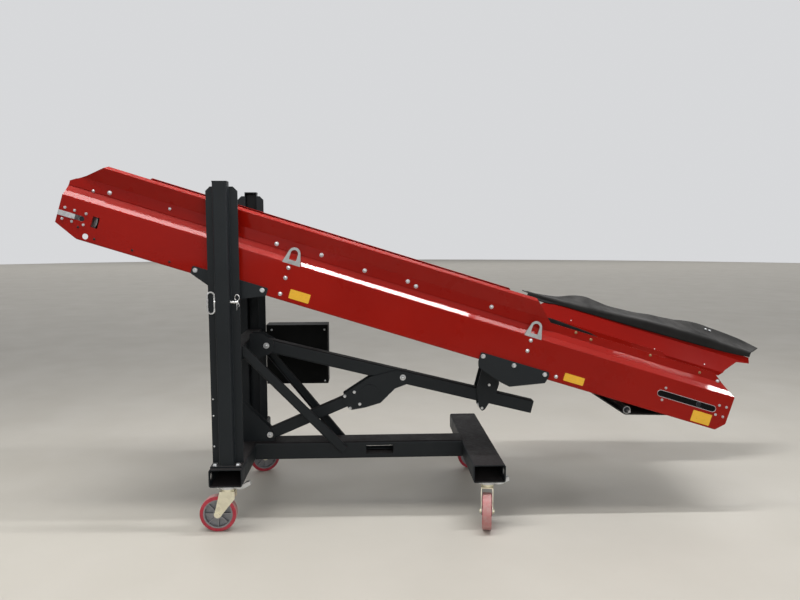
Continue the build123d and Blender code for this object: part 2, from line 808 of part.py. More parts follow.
def lifting_eyes():
    foot = Polygon((0, eye_foot), (eye_wide, eye_foot), (eye_wide, eye_shoulder), (0, eye_shoulder), align=None)
    crown = Pos(eye_wide / 2, eye_top - eye_round) * Circle(eye_round)
    arch = eye_hole_top - eye_hole_r
    hole = Pos(eye_wide / 2, arch) * Circle(eye_hole_r)
    hole += Pos(eye_wide / 2, (arch + eye_hole_foot) / 2) * Rectangle(2 * eye_hole_r, arch - eye_hole_foot)
    face = make_hull(foot.edges() + crown.edges()) - hole
    eyes = []
    for x in eye_places:
        for side in sides:
            eyes.append(Pos(x, 0, 0) * upright(face, side * (plate_inner_y - eye_plate), side * plate_inner_y))
    return joined(eyes)


def head_tensioners():
    inside, outside = tensioner_side
    bars = []
    for side in sides:
        w, half = head_drum[1], head_slot_r - link_gap
        bars.append(block(link_gap, tensioner_long, side * (plate_outer_y - inside),
                          side * (plate_outer_y + outside), w - half, w + half))
    return joined(bars)


def tail_bearing_plates():
    half = tail_slot_r + bearing_plate_edge
    x0, x1 = tail_slot[0] - bearing_plate_before_slot, plate_length - bearing_plate_tail_inset
    inner = plate_inner_y - bearing_plate_thick
    plates = []
    for side in sides:
        plate = block(x0, x1, side * inner, side * plate_inner_y, tail_slot_w - half, tail_slot_w + half)
        bore = rod(*tail_drum, shaft_r + pin_clearance, side * (inner - past), side * (plate_inner_y + past))
        plates.append(plate - bore)
    return joined(plates)


def guide_plates():
    half = guide_beam_size / 2
    cut = deck * block(guide_beam[0] - half, guide_beam[0] + half, -plate_outer_y, plate_outer_y,
                       guide_beam[1] - half, guide_beam[1] + plate_high)
    keeper = moved([guide_keeper], guide_pin)[0]
    plates = []
    for side in sides:
        inner, outer = side * guide_y, side * (guide_y + guide_plate)
        plate = rounded(moved(guide_outline, guide_pin), guide_corner, inner, outer) - cut
        for bolt in (guide_pin, keeper):
            plate -= rod(*bolt, guide_bolt_r + pin_clearance, inner - side * past, outer + side * past)
        plates.append(plate)
    return joined(plates)


def guide_rollers():
    reach = guide_y + guide_plate + guide_bolt_past
    half = guide_y - link_gap
    keeper = moved([guide_keeper], guide_pin)[0]
    rollers = []
    for place, r in ((guide_pin, guide_roller_r), (keeper, guide_keeper_r)):
        rollers.append(rod(*place, guide_bolt_r, -reach, reach) + rod(*place, r, -half, half))
    return joined(rollers)


# Casters: modelled trailing to -X with the swivel axis at the origin, then turned

caster_places = [
    ("near_left", 0.0, -1, 0.0),
    ("far_left", 0.0, 1, 200.0),
    ("near_right", tube_spacing, -1, 79.7),
    ("far_right", tube_spacing, 1, 180.0)]
fork_inner = wheel_wide / 2 + fork_gap
race_low = fork_crown + race_high
plate_low = caster_height - top_plate_thick
rim_r = wheel_r - tread_thick


def caster_at(x, side, turn=0.0):
    return Location((x, side * swivel_y, 0), (0, 0, turn))


def disc(r, z0, z1):
    return Pos(0, 0, (z0 + z1) / 2) * Cylinder(r, z1 - z0)


def caster_plate():
    half_x, half_y = top_plate_half
    plate = block(-half_x, half_x, -half_y, half_y, plate_low, caster_height)
    plate += disc(race_r, race_low, plate_low)
    plate += cornered(moved(lever_outline, (0.0, plate_low)), -lever_half_wide, lever_half_wide)
    return plate - disc(kingpin_r + pin_clearance, race_low - past, caster_height + past)


def fork():
    outer = fork_inner + fork_sheet
    back, front = moved(fork_arm_foot, (-trail, wheel_r))
    arm = [back, (-fork_back, fork_crown), (fork_front, fork_crown),
           (fork_front, fork_crown - fork_front_drop), front]
    crown_top = fork_crown + fork_crown_thick
    shape = block(-fork_back, fork_front, -outer, outer, fork_crown, crown_top)
    for side in sides:
        shape += cornered(arm, side * fork_inner, side * outer)
        shape += rod(-trail, wheel_r, fork_boss_r, side * fork_inner, side * outer)
        shape += rod(-trail, wheel_r, axle_nut_r, side * outer, side * (outer + axle_nut_thick))
    shape += rod(-trail, wheel_r, axle_r, -outer, outer)
    shape += disc(race_lower_r, fork_crown, race_low - race_gap)
    return shape + disc(kingpin_r, fork_crown, caster_height - kingpin_below_top)


def hub():
    half = fork_inner - hub_side_gap
    place = (-trail, wheel_r)
    shape = rod(*place, hub_core_r, -half, half) + rod(*place, rim_r, -hub_web / 2, hub_web / 2)
    rim = rod(*place, rim_r, -wheel_wide / 2, wheel_wide / 2)
    shape += rim - rod(*place, rim_r - hub_rim_thick, -wheel_wide, wheel_wide)
    rib_half, rib_end = hub_web / 2 + hub_rib_past_web, rim_r - hub_rim_thick / 2
    for k in range(hub_ribs):
        rib = block(hub_rib_start, rib_end, -rib_half, rib_half, -hub_rib_thick / 2, hub_rib_thick / 2)
        shape += Pos(-trail, 0, wheel_r) * Rot(0, 360 * k / hub_ribs, 0) * rib
    return shape - rod(*place, axle_r + pin_clearance, -half - past, half + past)


def tread():
    ring = rod(-trail, wheel_r, wheel_r, -wheel_wide / 2, wheel_wide / 2)
    ring = fillet(ring.edges().filter_by(GeomType.CIRCLE), tread_corner)
    return ring - rod(-trail, wheel_r, rim_r + hub_tread_gap, -wheel_wide, wheel_wide)


# Every node with its shape, in the machine frame

nodes = {
    "cross_tube_left": cross_tube(0.0, -1),
    "cross_tube_right": cross_tube(tube_spacing, 1),
    "base_beam": base_beam(),
    "mast_near": mast(-1),
    "mast_far": mast(1),
    "mast_cross_beam": mast_cross_beam(),
    "arm_pivot_plates": arm_pivot_plates(),
    "gusset_plates": gusset_plates(),
    "brace_near": brace(-1),
    "brace_far": brace(1),
    "conveyor_arm": conveyor_arm(),
    "strut_tube": strut_tube(),
    "strut_clamps": strut_clamps(),
    "elbow_plates": elbow_plates(),
    "linkage_pins": linkage_pins(),
    "lock_pins": joined([lock_pin(side) for side in sides]),
    "control_box": control_box(),
    "box_bracket": box_bracket(),
    "caster_plates": joined([caster_at(x, side) * caster_plate() for _, x, side, _ in caster_places]),
    "carriage_blocks": joined([carriage_block(side) for side in sides]),
    "side_plate_near": deck * side_plate(-1),
    "side_plate_far": deck * side_plate(1),
    "board_near": deck * board(-1),
    "board_far": deck * board(1),
    "hopper_wall": deck * hopper_wall(),
    "hopper_rubber": deck * hopper_rubber(),
    "belt": deck * belt(),
    "head_drum": deck * drum(head_drum),
    "tail_drum": deck * drum(tail_drum),
    "press_roller": deck * roller(press_roller, press_roller_r),
    "return_roller": deck * roller(return_roller, return_roller_r),
    "belt_bed": deck * belt_bed(),
    "cross_members": deck * cross_members(),
    "skirts": deck * skirts(),
    "wing_plates": deck * wing_plates(),
    "bracket_plates": deck * bracket_plates(),
    "guide_cross_beam": deck * guide_cross_beam(),
    "lifting_eyes": deck * lifting_eyes(),
    "head_tensioners": deck * head_tensioners(),
    "tail_bearing_plates": deck * tail_bearing_plates(),
    "guide_plates": guide_plates(),
    "guide_rollers": guide_rollers(),
}
for name, x, side, turn in caster_places:
    place = caster_at(x, side, turn)
    nodes["fork_" + name] = place * fork()
    nodes["hub_" + name] = place * hub()
    nodes["tread_" + name] = place * tread()

lows = [shape.bounding_box().min.X for shape in nodes.values()]
highs = [shape.bounding_box().max.X for shape in nodes.values()]
middle_x = (min(lows) + max(highs)) / 2

for name, shape in nodes.items():
    export_step(Pos(-middle_x, 0, 0) * shape, f"parts/{name}.step")
print("origin at machine X", round(middle_x, 3), "length", round(max(highs) - min(lows), 1))
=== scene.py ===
import json
import math

import bmesh
import bpy
from mathutils import Matrix, Vector, noise


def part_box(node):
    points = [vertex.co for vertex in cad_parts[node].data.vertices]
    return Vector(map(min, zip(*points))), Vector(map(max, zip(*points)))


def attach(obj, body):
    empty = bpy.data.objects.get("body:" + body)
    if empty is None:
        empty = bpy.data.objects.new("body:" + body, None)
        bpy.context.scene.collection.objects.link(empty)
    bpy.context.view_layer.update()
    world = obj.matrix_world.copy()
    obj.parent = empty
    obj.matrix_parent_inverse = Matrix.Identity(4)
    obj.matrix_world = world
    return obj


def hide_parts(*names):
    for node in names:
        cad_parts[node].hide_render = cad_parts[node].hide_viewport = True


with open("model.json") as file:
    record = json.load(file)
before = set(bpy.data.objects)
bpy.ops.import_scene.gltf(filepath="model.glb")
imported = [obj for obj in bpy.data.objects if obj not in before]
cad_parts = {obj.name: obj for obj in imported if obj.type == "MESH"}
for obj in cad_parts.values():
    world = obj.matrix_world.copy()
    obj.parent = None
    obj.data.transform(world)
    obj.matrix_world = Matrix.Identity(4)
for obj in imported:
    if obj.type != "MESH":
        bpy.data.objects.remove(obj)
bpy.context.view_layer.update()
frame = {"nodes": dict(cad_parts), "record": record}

# Places, in millimetres. Machine points start on the floor under the masts' axis. Deck points lie
# on the tilted trough: x along it from the head end, y across, and w square to it, upward.

MM = 0.001
SCALE_MM = Matrix.Scale(MM, 4)
SIDES = ((-1, "near"), (1, "far"))

low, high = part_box("mast_near")
MAST_X = (low.x + high.x) / 2
PIVOT_Z = 1.330
PIVOT_ON_DECK = Vector((0.976, 0, -0.040))
TILT = math.radians(17.2)
DECK = (Matrix.Translation((MAST_X, 0, PIVOT_Z)) @ Matrix.Rotation(TILT, 4, "Y")
        @ Matrix.Translation(-PIVOT_ON_DECK))

# Outer faces, as distances from the middle plane
PLATE_Y = 400.0
LEG_Y = 354.0
BOARD_Y = 357.0
WING_Y = 408.0
ELBOW_Y = 47.0
PIN_HEAD_Y = 57.0
MAST_SIDE_Y = 457.0


def machine(x, y, z):
    """A machine point in the row frame, in metres."""
    return Vector((MAST_X + x * MM, y * MM, z * MM))


def deck(x, y, w):
    """A deck point in the row frame, in metres."""
    return DECK @ Vector((x * MM, y * MM, w * MM))


def facing(point, direction):
    """A place at the point whose Z axis looks along the direction."""
    return Matrix.Translation(point) @ Vector(direction).to_track_quat("Z", "Y").to_matrix().to_4x4()


def on_trough(side, x, y, w):
    """A place on one side of the trough that faces outward."""
    return facing(deck(x, side * y, w), (0, side, 0))


def on_base(side, x, y, z):
    """A place on one side of the base that faces outward."""
    return facing(machine(x, side * y, z), (0, side, 0))


# Camera, fitted to the photograph

YAW, PITCH, ROLL = 0.0465, 0.095, -0.0015
CAMERA_AT = machine(784.4, -4168.8, 1636.3)
SENSOR_WIDTH = 36.0
FOCAL_LENGTH = 30.54

forward = Vector((math.sin(YAW) * math.cos(PITCH), math.cos(YAW) * math.cos(PITCH), -math.sin(PITCH)))
flat_right = Vector((math.cos(YAW), -math.sin(YAW), 0))
flat_up = flat_right.cross(forward)
right = math.cos(ROLL) * flat_right + math.sin(ROLL) * flat_up
up = -math.sin(ROLL) * flat_right + math.cos(ROLL) * flat_up
camera_data = bpy.data.cameras.new("camera")
camera_data.sensor_width = SENSOR_WIDTH
camera_data.lens = FOCAL_LENGTH
camera_data.clip_end = 100.0
camera = bpy.data.objects.new("camera", camera_data)
bpy.context.scene.collection.objects.link(camera)
camera.matrix_world = Matrix.Translation(CAMERA_AT) @ Matrix((right, up, -forward)).transposed().to_4x4()
bpy.context.scene.camera = camera
bpy.context.scene.view_settings.view_transform = "Standard"


# Materials

class Graph:
    """A short way to write a material's nodes: each call makes a node and gives back its output."""

    def __init__(self, name):
        self.material = bpy.data.materials.new(name)
        self.material.use_nodes = True
        self.tree = self.material.node_tree
        self.shader = self.tree.nodes["Principled BSDF"]
        self.place = self.tree.nodes.new("ShaderNodeTexCoord").outputs["Object"]

    def put(self, socket, value):
        """Links an output to the socket, or sets a plain value on it."""
        if isinstance(value, bpy.types.NodeSocket):
            self.tree.links.new(value, socket)
        elif isinstance(value, tuple) and len(value) == 3 and socket.type == "RGBA":
            socket.default_value = (*value, 1.0)
        else:
            socket.default_value = value

    def node(self, kind, output, inputs, **props):
        made = self.tree.nodes.new(kind)
        for key, value in props.items():
            setattr(made, key, value)
        for key, value in inputs.items():
            self.put(made.inputs[key], value)
        return made.outputs[output]

    def stretched(self, scale):
        return self.node("ShaderNodeMapping", "Vector", {"Vector": self.place, "Scale": scale})

    def noise(self, scale, detail=3.0, rough=0.5, vector=None):
        return self.node("ShaderNodeTexNoise", "Fac", {
            "Vector": vector or self.place, "Scale": scale, "Detail": detail, "Roughness": rough})

    def cells(self, scale):
        return self.node("ShaderNodeTexVoronoi", "Color", {"Vector": self.place, "Scale": scale})

    def spread(self, value, low, high, to_low=0.0, to_high=1.0):
        return self.node("ShaderNodeMapRange", "Result", {
            "Value": value, "From Min": low, "From Max": high, "To Min": to_low, "To Max": to_high})

    def times(self, a, b):
        return self.node("ShaderNodeMath", "Value", {0: a, 1: b}, operation="MULTIPLY")

    def add(self, a, b):
        return self.node("ShaderNodeMath", "Value", {0: a, 1: b}, operation="ADD")

    def mix(self, factor, a, b):
        """Colour a where the factor is 0, and b where it is 1. The sockets are the node's colour ones."""
        made = self.tree.nodes.new("ShaderNodeMix")
        made.data_type = "RGBA"
        self.put(made.inputs[0], factor)
        self.put(made.inputs[6], a)
        self.put(made.inputs[7], b)
        return made.outputs[2]

    def upward(self):
        """1 where the surface faces up."""
        normal = self.node("ShaderNodeNewGeometry", "Normal", {})
        height = self.node("ShaderNodeSeparateXYZ", "Z", {"Vector": normal})
        return self.spread(height, 0.3, 0.95)

    def set(self, **values):
        """Sets the shader's sockets by name, with _ for a space."""
        for key, value in values.items():
            self.put(self.shader.inputs[key.replace("_", " ")], value)

    def bump(self, height, strength, distance):
        """Sets the shader's bump, the last step, and gives back the finished material."""
        self.put(self.shader.inputs["Normal"], self.node("ShaderNodeBump", "Normal", {
            "Height": height, "Strength": strength, "Distance": distance}))
        return self.material


DUST = (0.42, 0.39, 0.34)


def paint(name, color, dark, rough, shine, coat, peel, dust_and_reflection, chips, dust_and_reflection_color=DUST):
    """Powder coat: orange peel, slow shifts of tone, small scuffs, and a colour on what faces up: dust on
    most paints, a painted reddish reflection on the frame paint.
    """
    g = Graph(name)
    tone = g.spread(g.noise(1.7, 4.0), 0.35, 0.65)
    base = g.mix(tone, dark, color)
    speckle = g.spread(g.noise(38.0, 6.0, 0.7), 0.35, 0.75, 0.6, 1.0)
    # What faces up takes the given colour: real dust on most paints, and on the frame paint a painted
    # reflection of the red trough with a dust-like mottle.
    dusty = g.times(g.times(speckle, g.upward()), dust_and_reflection)
    scuff = g.spread(g.noise(21.0, 5.0, 0.75, g.stretched((1.0, 1.0, 0.35))), 0.68, 0.74)
    mark = g.times(scuff, chips)
    base = g.mix(dusty, base, dust_and_reflection_color)
    rubbed = tuple(min(1.0, c * 1.4 + 0.015) for c in color)
    g.set(Base_Color=g.mix(mark, base, rubbed))
    smudge = g.spread(g.noise(6.0, 5.0, 0.6), 0.3, 0.7, rough * 0.82, rough * 1.2)
    g.set(Roughness=g.add(smudge, g.times(g.add(dusty, mark), 0.5)))
    g.set(Coat_Weight=coat, Coat_Roughness=0.05, Specular_IOR_Level=shine)
    peel_height = g.add(g.noise(peel, 2.0), g.times(g.noise(peel * 4.1, 2.0), 0.3))
    return g.bump(peel_height, 0.12, 0.0004)


def metal(name, color, dark, rough, grain, cell):
    """Plated or bare steel: crystal patches, smudges and a fine grain."""
    g = Graph(name)
    patch = g.node("ShaderNodeSeparateColor", "Red", {"Color": g.cells(cell)})
    tone = g.add(g.times(patch, 0.45), g.times(g.spread(g.noise(9.0, 5.0), 0.3, 0.7), 0.55))
    g.set(Base_Color=g.mix(tone, dark, color), Metallic=1.0)
    smudge = g.spread(g.noise(27.0, 6.0, 0.65), 0.3, 0.7, rough * 0.75, rough * 1.35)
    g.set(Roughness=g.add(smudge, g.times(patch, 0.05)))
    return g.bump(g.noise(grain, 3.0), 0.15, 0.0003)


def rubber(name, color, pale, rough, grain, chalk):
    """Rubber: fine moulded grain, chalky bloom and dust on what faces up."""
    g = Graph(name)
    bloom = g.spread(g.noise(5.5, 6.0, 0.62), 0.36, 0.72)
    dusty = g.times(g.upward(), g.spread(g.noise(13.0, 6.0, 0.7), 0.35, 0.7))
    bloom = g.times(bloom, g.add(g.times(g.upward(), 0.85), 0.15))
    cover = g.add(g.times(bloom, chalk), g.times(dusty, chalk * 0.6))
    g.set(Base_Color=g.mix(cover, color, pale), Specular_IOR_Level=0.22)
    g.set(Roughness=g.spread(g.noise(17.0, 4.0), 0.3, 0.7, rough * 0.85, min(1.0, rough * 1.1)))
    height = g.add(g.noise(grain, 4.0, 0.6), g.times(g.noise(14.0, 2.0), 0.6))
    return g.bump(height, 0.35, 0.0009)


def tread_material(name, axle):
    """Red polyurethane: clean sides, and a rolling surface pale with dust. The axle is a direction."""
    g = Graph(name)
    normal = g.tree.nodes.new("ShaderNodeTexCoord").outputs["Normal"]
    along = g.node("ShaderNodeVectorMath", "Value", {0: normal, 1: axle}, operation="DOT_PRODUCT")
    side = g.node("ShaderNodeMath", "Value", {0: along}, operation="ABSOLUTE")
    rolling = g.spread(side, 0.75, 0.35)
    worn = g.spread(g.noise(30.0, 6.0, 0.7), 0.4, 0.75)
    tone = g.spread(g.noise(8.0, 3.0), 0.35, 0.65)
    base = g.mix(tone, (0.40, 0.022, 0.045), (0.50, 0.034, 0.062))
    dusty = g.add(g.times(worn, 0.10), g.times(rolling, g.spread(worn, 0.0, 1.0, 0.42, 0.62)))
    g.set(Base_Color=g.mix(dusty, base, (0.46, 0.41, 0.37)), Coat_Weight=0.1, Coat_Roughness=0.25)
    g.set(Roughness=g.spread(dusty, 0.0, 0.6, 0.34, 0.6), Specular_IOR_Level=0.3)
    return g.bump(g.noise(420.0, 3.0), 0.3, 0.0004)


def film_material(name):
    """Blank yellow film with a faint print grain and a little dirt."""
    g = Graph(name)
    grime = g.spread(g.noise(70.0, 6.0, 0.7), 0.52, 0.8)
    tone = g.spread(g.noise(12.0, 3.0), 0.3, 0.7)
    base = g.mix(tone, (0.86, 0.47, 0.018), (0.92, 0.51, 0.024))
    g.set(Base_Color=g.mix(g.times(grime, 0.35), base, (0.23, 0.17, 0.05)))
    g.set(Roughness=g.spread(g.noise(40.0, 4.0), 0.3, 0.7, 0.26, 0.42), Coat_Weight=0.3)
    return g.bump(g.noise(900.0, 2.0), 0.1, 0.0002)


def floor_material(name):
    """A plain pale floor with a very faint trowelled tone."""
    g = Graph(name)
    tone = g.spread(g.noise(0.9, 6.0, 0.6), 0.3, 0.7)
    g.set(Base_Color=g.mix(tone, (0.49, 0.466, 0.418), (0.53, 0.505, 0.457)))
    g.set(Roughness=g.spread(g.noise(2.3, 5.0), 0.3, 0.7, 0.55, 0.7))
    return g.bump(g.noise(60.0, 4.0), 0.05, 0.001)


# One material for each material slot of the record
MATERIALS = {
    "red_paint": paint(
        "red_paint", color=(0.325, 0.0072, 0.0027), dark=(0.29, 0.006, 0.0022), rough=0.30, shine=0.09,
        coat=0.2, peel=260.0, dust_and_reflection=0.03, chips=0.05),
    # The frame paint's dark warm colour on what faces up is a painted reflection of the red trough, mottled
    # like dust.
    "frame_paint": paint(
        "frame_paint", color=(0.0135, 0.0168, 0.0196), dark=(0.0105, 0.0130, 0.0152), rough=0.50, shine=0.2,
        coat=0.0, peel=420.0, dust_and_reflection=0.8, chips=0.16, dust_and_reflection_color=(0.017, 0.011, 0.010)),
    "box_paint": paint(
        "box_paint", color=(0.0042, 0.0046, 0.0046), dark=(0.003, 0.0034, 0.0034), rough=0.62, shine=0.08,
        coat=0.0, peel=700.0, dust_and_reflection=0.02, chips=0.10),
    "zinc": metal(
        "zinc", color=(0.66, 0.67, 0.68), dark=(0.47, 0.48, 0.49), rough=0.34, grain=900.0, cell=70.0),
    "fork_zinc": metal(
        "fork_zinc", color=(0.84, 0.80, 0.64), dark=(0.66, 0.62, 0.48), rough=0.42, grain=700.0, cell=60.0),
    "steel": metal(
        "steel", color=(0.55, 0.55, 0.55), dark=(0.36, 0.36, 0.37), rough=0.30, grain=1200.0, cell=25.0),
    "hub_alloy": metal(
        "hub_alloy", color=(0.30, 0.30, 0.31), dark=(0.21, 0.21, 0.22), rough=0.52, grain=500.0, cell=160.0),
    "belt_rubber": rubber(
        "belt_rubber", color=(0.010, 0.010, 0.010), pale=(0.035, 0.033, 0.030), rough=0.72, grain=700.0,
        chalk=0.5),
    "sheet_rubber": rubber(
        "sheet_rubber", color=(0.0045, 0.0042, 0.004), pale=(0.047, 0.045, 0.043), rough=0.7, grain=520.0,
        chalk=0.8),
}
ZINC = MATERIALS["zinc"]

# Materials of single pieces
FILM = film_material("plate_film")
PLASTIC = rubber(
    "black_plastic", color=(0.010, 0.010, 0.010), pale=(0.03, 0.03, 0.03), rough=0.5, grain=800.0, chalk=0.3)
BRIGHT_ZINC = metal(
    "bright_zinc", color=(0.86, 0.86, 0.85), dark=(0.66, 0.66, 0.66), rough=0.22, grain=900.0, cell=90.0)
SKIRT_RUBBER = rubber(
    "skirt_rubber", color=(0.003, 0.0028, 0.0027), pale=(0.02, 0.019, 0.018), rough=0.75, grain=600.0,
    chalk=0.4)
DARK_STEEL = metal(
    "dark_steel", color=(0.045, 0.048, 0.055), dark=(0.02, 0.022, 0.026), rough=0.5, grain=900.0, cell=60.0)
EYE_ZINC = metal(
    "eye_zinc", color=(0.42, 0.44, 0.44), dark=(0.30, 0.31, 0.31), rough=0.5, grain=700.0, cell=55.0)
# The hopper bolts' gold tint is their own plating; its dark brown depth is painted shade.
BRASS_SHADED = metal(
    "brass_painted_shade", color=(0.34, 0.22, 0.12), dark=(0.24, 0.15, 0.08), rough=0.5, grain=600.0, cell=90.0)
# The hopper wall's red is the trough's red paint made darker, less shiny and nearly free of dust: painted
# shade, since the wall sits in less light.
HOPPER_RED_SHADED = paint(
    "hopper_red_painted_shade", color=(0.245, 0.0048, 0.002), dark=(0.215, 0.004, 0.0017), rough=0.34, shine=0.04,
    coat=0.06, peel=260.0, dust_and_reflection=0.004, chips=0.05)

# CAD nodes that look unlike the rest of their slot; the hopper wall's look is a darker copy of the red
# paint, which paints shade on it. Each caster is turned by an angle about its kingpin, and its axle with it.
NODE_LOOKS = {"lifting_eyes": EYE_ZINC, "lock_pins": BRIGHT_ZINC, "hopper_wall": HOPPER_RED_SHADED}
CASTER_TURNS = {"near_left": 0.0, "far_left": 200.0, "near_right": 79.7, "far_right": 180.0}
for label, degrees in CASTER_TURNS.items():
    angle = math.radians(degrees)
    axle = (-math.sin(angle), math.cos(angle), 0.0)
    NODE_LOOKS["tread_" + label] = tread_material("tread_red_" + label, axle)

for row in frame["record"]["subparts"]:
    look = NODE_LOOKS.get(row["node"]) or MATERIALS[row["material_slot"]]
    for slot in frame["nodes"][row["node"]].material_slots:
        slot.material = look


# Mesh helpers. A place is a matrix, and sizes are in millimetres.

def shown(name, bm, body, material, crease=35.0):
    """Makes an object from the mesh, which rides on the body."""
    mesh = bpy.data.meshes.new(name)
    bmesh.ops.recalc_face_normals(bm, faces=bm.faces)
    bm.to_mesh(mesh)
    bm.free()
    mesh.polygons.foreach_set("use_smooth", [True] * len(mesh.polygons))
    mesh.set_sharp_from_angle(angle=math.radians(crease))
    mesh.materials.append(material)
    obj = bpy.data.objects.new(name, mesh)
    bpy.context.scene.collection.objects.link(obj)
    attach(obj, body)
    return obj


def around(count):
    """Angles at equal steps round a full turn."""
    return [2 * math.pi * k / count for k in range(count)]


def skin(bm, rings, closed=False):
    """Joins rings of points with faces. A ring of one point is a tip, and open ends get a cap."""
    sides = max(len(ring) for ring in rings)
    for a, b in zip(rings, rings[1:] + rings[:1] if closed else rings[1:]):
        for k in range(sides):
            n = (k + 1) % sides
            if len(a) == 1:
                bm.faces.new((a[0], b[n], b[k]))
            elif len(b) == 1:
                bm.faces.new((a[k], a[n], b[0]))
            else:
                bm.faces.new((a[k], a[n], b[n], b[k]))
    if not closed and len(rings[0]) > 1:
        bm.faces.new(rings[0][::-1])
    if not closed and len(rings[-1]) > 1:
        bm.faces.new(rings[-1])


def lathe(bm, place, profile, sides=20):
    """A closed shape turned about the place's Z axis, from rows of radius and height."""
    rings = []
    for r, z in profile:
        ring = [(r * MM * math.cos(a), r * MM * math.sin(a), z * MM) for a in around(sides)]
        if r == 0:
            ring = [(0, 0, z * MM)]
        rings.append([bm.verts.new(place @ Vector(point)) for point in ring])
    skin(bm, rings)


DOME = [(13.0, 0), (13.0, 1.6), (11.2, 1.7), (10.8, 3.2), (9.2, 5.2), (6.4, 6.8), (3.2, 7.6), (0, 7.8)]
WASHER_THICK = 1.8


def dome(bm, place, size):
    """A button head on its washer."""
    lathe(bm, place, [(r * size, z * size) for r, z in DOME])


def hex_bolt(bm, place, across, high):
    """A washer and a head with six flats and a turned chamfer on top."""
    washer_r = across * 0.68
    lathe(bm, place, [(washer_r, 0), (washer_r, WASHER_THICK), (0, WASHER_THICK)], 24)
    r = across / math.sqrt(3)
    top = WASHER_THICK + high
    lathe(bm, place, [(r, WASHER_THICK), (r, top - 0.12 * across), (r * 0.86, top), (0, top)], 6)


def rivet(bm, place, r):
    lathe(bm, place, [(r, 0), (r * 0.95, r * 0.25), (r * 0.6, r * 0.48), (0, r * 0.56)], 16)


def bead(bm, start, end, r=3.0, pitch=5.0):
    """A rippled weld bead between two points, thinner at its ends."""
    run = end - start
    count = max(3, int(run.length / MM / pitch))
    turn = run.to_track_quat("Z", "Y").to_matrix().to_4x4()
    rings = []
    for k in range(2 * count + 1):
        t = k / (2 * count)
        taper = min(1.0, min(t, 1 - t) * count + 0.35)
        size = r * MM * taper * (1.0 if k % 2 else 0.82)
        middle = Matrix.Translation(start + run * t) @ turn
        rings.append([bm.verts.new(middle @ Vector((size * math.cos(a), size * math.sin(a), 0)))
                      for a in around(8)])
    skin(bm, rings)


def slab(bm, place, long, high, thick, corner):
    """A thin plate with rounded corners and an eased front edge, its face along Z."""
    steps = 5
    place = place @ SCALE_MM
    outline = []
    for quarter, (sx, sy) in enumerate(((1, 1), (-1, 1), (-1, -1), (1, -1))):
        for k in range(steps + 1):
            a = math.pi / 2 * (quarter + k / steps)
            outline.append(Vector((sx * (long / 2 - corner) + corner * math.cos(a),
                                   sy * (high / 2 - corner) + corner * math.sin(a), 0)))
    edge = min(0.4 * thick, 0.8)
    rings = []
    for inset, z in ((0, 0), (0, thick - edge), (edge, thick)):
        rings.append([bm.verts.new(place @ (point * (1 - inset / point.length) + Vector((0, 0, z))))
                      for point in outline])
    skin(bm, rings)


def wire(bm, points, r, across, closed=False, sides=8):
    """A round wire through the points, which lie in a plane square to the given direction."""
    count = len(points)
    rings = []
    for k, point in enumerate(points):
        before = points[k - 1] if closed or k else point
        after = points[(k + 1) % count] if closed or k < count - 1 else point
        forth = (after - before).normalized()
        other = across.cross(forth).normalized()
        rings.append([bm.verts.new(point + r * MM * (math.cos(a) * across + math.sin(a) * other))
                      for a in around(sides)])
    skin(bm, rings, closed)


# Fasteners on the trough: outer face, size, and the places in deck x and w

TROUGH_DOMES = [
    (BOARD_Y, 0.9, [(221, 291), (1163, 290), (1673, 290), (1975, 290), (1418, 303), (1923, 303),
                    (2422, 303)]),
    (BOARD_Y, 0.6, [(135, 275), (553, 303)]),
    (PLATE_Y, 0.85, [(1266, 185), (1266, 126), (1263, 33), (2687, 188), (2687, 126), (2891, 31)]),
    (LEG_Y, 0.85, [(3831, 273)]),
]
# Outer face, width across flats, height of the head, and the places
TROUGH_HEXES = [
    (WING_Y, 19.0, 7.0, [(785, 24), (1164, 25), (2452, 25), (2637, 25), (2823, 25)]),
    (PLATE_Y, 11.0, 4.0, [(31, 148), (84, 148), (147, 148), (31, 86), (84, 86), (147, 86),
                          (3526, 151), (3526, 79), (3863, 144), (3907, 145), (3859, 86), (3905, 86)]),
]
HOPPER_BOLTS = [(3033, 290), (3711, 290), (2936, 303), (3397, 303)]
HOPPER_BOLT_SIZE = 0.65
PLUGS = [(123, 66), (222, 28), (431, 29), (639, 27)]
PLUG_R = 6.5
# Ends of the press roller and of both drums' shafts: deck x, y and w, and radius
ROUND_ENDS = [(3368, 355, -42, 18.5), (3745, 396, 114, 13.6), (130, 396, 115, 13.6)]

for side, label in SIDES:
    bm = bmesh.new()
    for y, size, places in TROUGH_DOMES:
        for x, w in places:
            dome(bm, on_trough(side, x, y, w), size)
    for y, across, tall, places in TROUGH_HEXES:
        for x, w in places:
            hex_bolt(bm, on_trough(side, x, y, w), across, tall)
    shown("trough_bolts_" + label, bm, "conveyor", ZINC)
    bm = bmesh.new()
    for x, w in HOPPER_BOLTS:
        dome(bm, on_trough(side, x, LEG_Y, w), HOPPER_BOLT_SIZE)
    shown("hopper_bolts_" + label, bm, "conveyor", BRASS_SHADED)
    bm = bmesh.new()
    for x, w in PLUGS:
        rivet(bm, on_trough(side, x, PLATE_Y, w), PLUG_R)
    shown("plugs_" + label, bm, "conveyor", PLASTIC)
    bm = bmesh.new()
    for x, y, w, r in ROUND_ENDS:
        lathe(bm, on_trough(side, x, y, w), [(r, 0), (r, 0.8), (r * 0.9, 1.4), (r * 0.25, 1.4), (0, 0.6)])
    shown("round_ends_" + label, bm, "conveyor", DARK_STEEL)

# Blank plates on the near side: middle in deck x and w, length and height

BLANK_PLATES = [(1369, 50, 115, 52), (2996, 46, 120, 45), (3784, 44, 116, 66)]
FILM_THICK = 0.5
FILM_CORNER = 4.0
FILM_Y = PLATE_Y + 0.05
